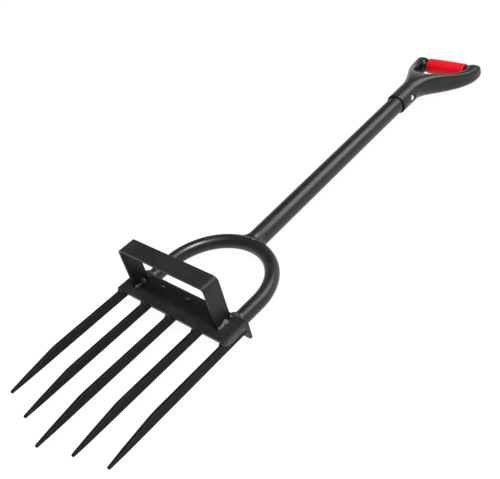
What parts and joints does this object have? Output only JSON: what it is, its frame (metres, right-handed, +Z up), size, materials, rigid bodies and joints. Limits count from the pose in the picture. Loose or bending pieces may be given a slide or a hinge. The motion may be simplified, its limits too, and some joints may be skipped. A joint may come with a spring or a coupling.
{
  "type": "lawn aerator fork",
  "caption": "Hand fork with straight flat tines on a bent-plate crosspiece, a strap loop over it, a bent tube yoke, a straight tube shaft and a D-shaped grip, for piercing and loosening turf.",
  "frame": {"origin": "on the floor under the centre of the whole tool as it lies on its back, foot bracket up", "axes": "+X across the row of tines, +Y along the shaft from the tines to the grip, +Z up, out of the crosspiece's flange"},
  "size_m": [0.232, 1.0772, 0.115],
  "materials": {
    "frame_paint": "satin",
    "tube_paint": "semi-gloss",
    "tine_paint": "satin",
    "weld_paint": "rough satin",
    "black_plastic": "fine moulded grain",
    "red_plastic": "satin",
    "rivet_steel": "bright"
  },
  "bodies": {
    "root": {"crosspiece": "frame_paint", "foot_bracket": "frame_paint", "yoke_tube": "tube_paint", "shaft_tube": "tube_paint", "tine_1": "tine_paint", "tine_2": "tine_paint", "tine_3": "tine_paint", "tine_4": "tine_paint", "tine_5": "tine_paint", "tine_weld_1": "weld_paint", "tine_weld_2": "weld_paint", "tine_weld_3": "weld_paint", "tine_weld_4": "weld_paint", "tine_weld_5": "weld_paint", "plug_welds": "weld_paint", "bracket_weld_left": "weld_paint", "bracket_weld_right": "weld_paint", "yoke_weld_left": "weld_paint", "yoke_weld_right": "weld_paint", "shaft_weld": "weld_paint", "grip_body": "black_plastic", "grip_sleeve": "red_plastic", "grip_rivet": "rivet_steel"}
  },
  "joints": []
}
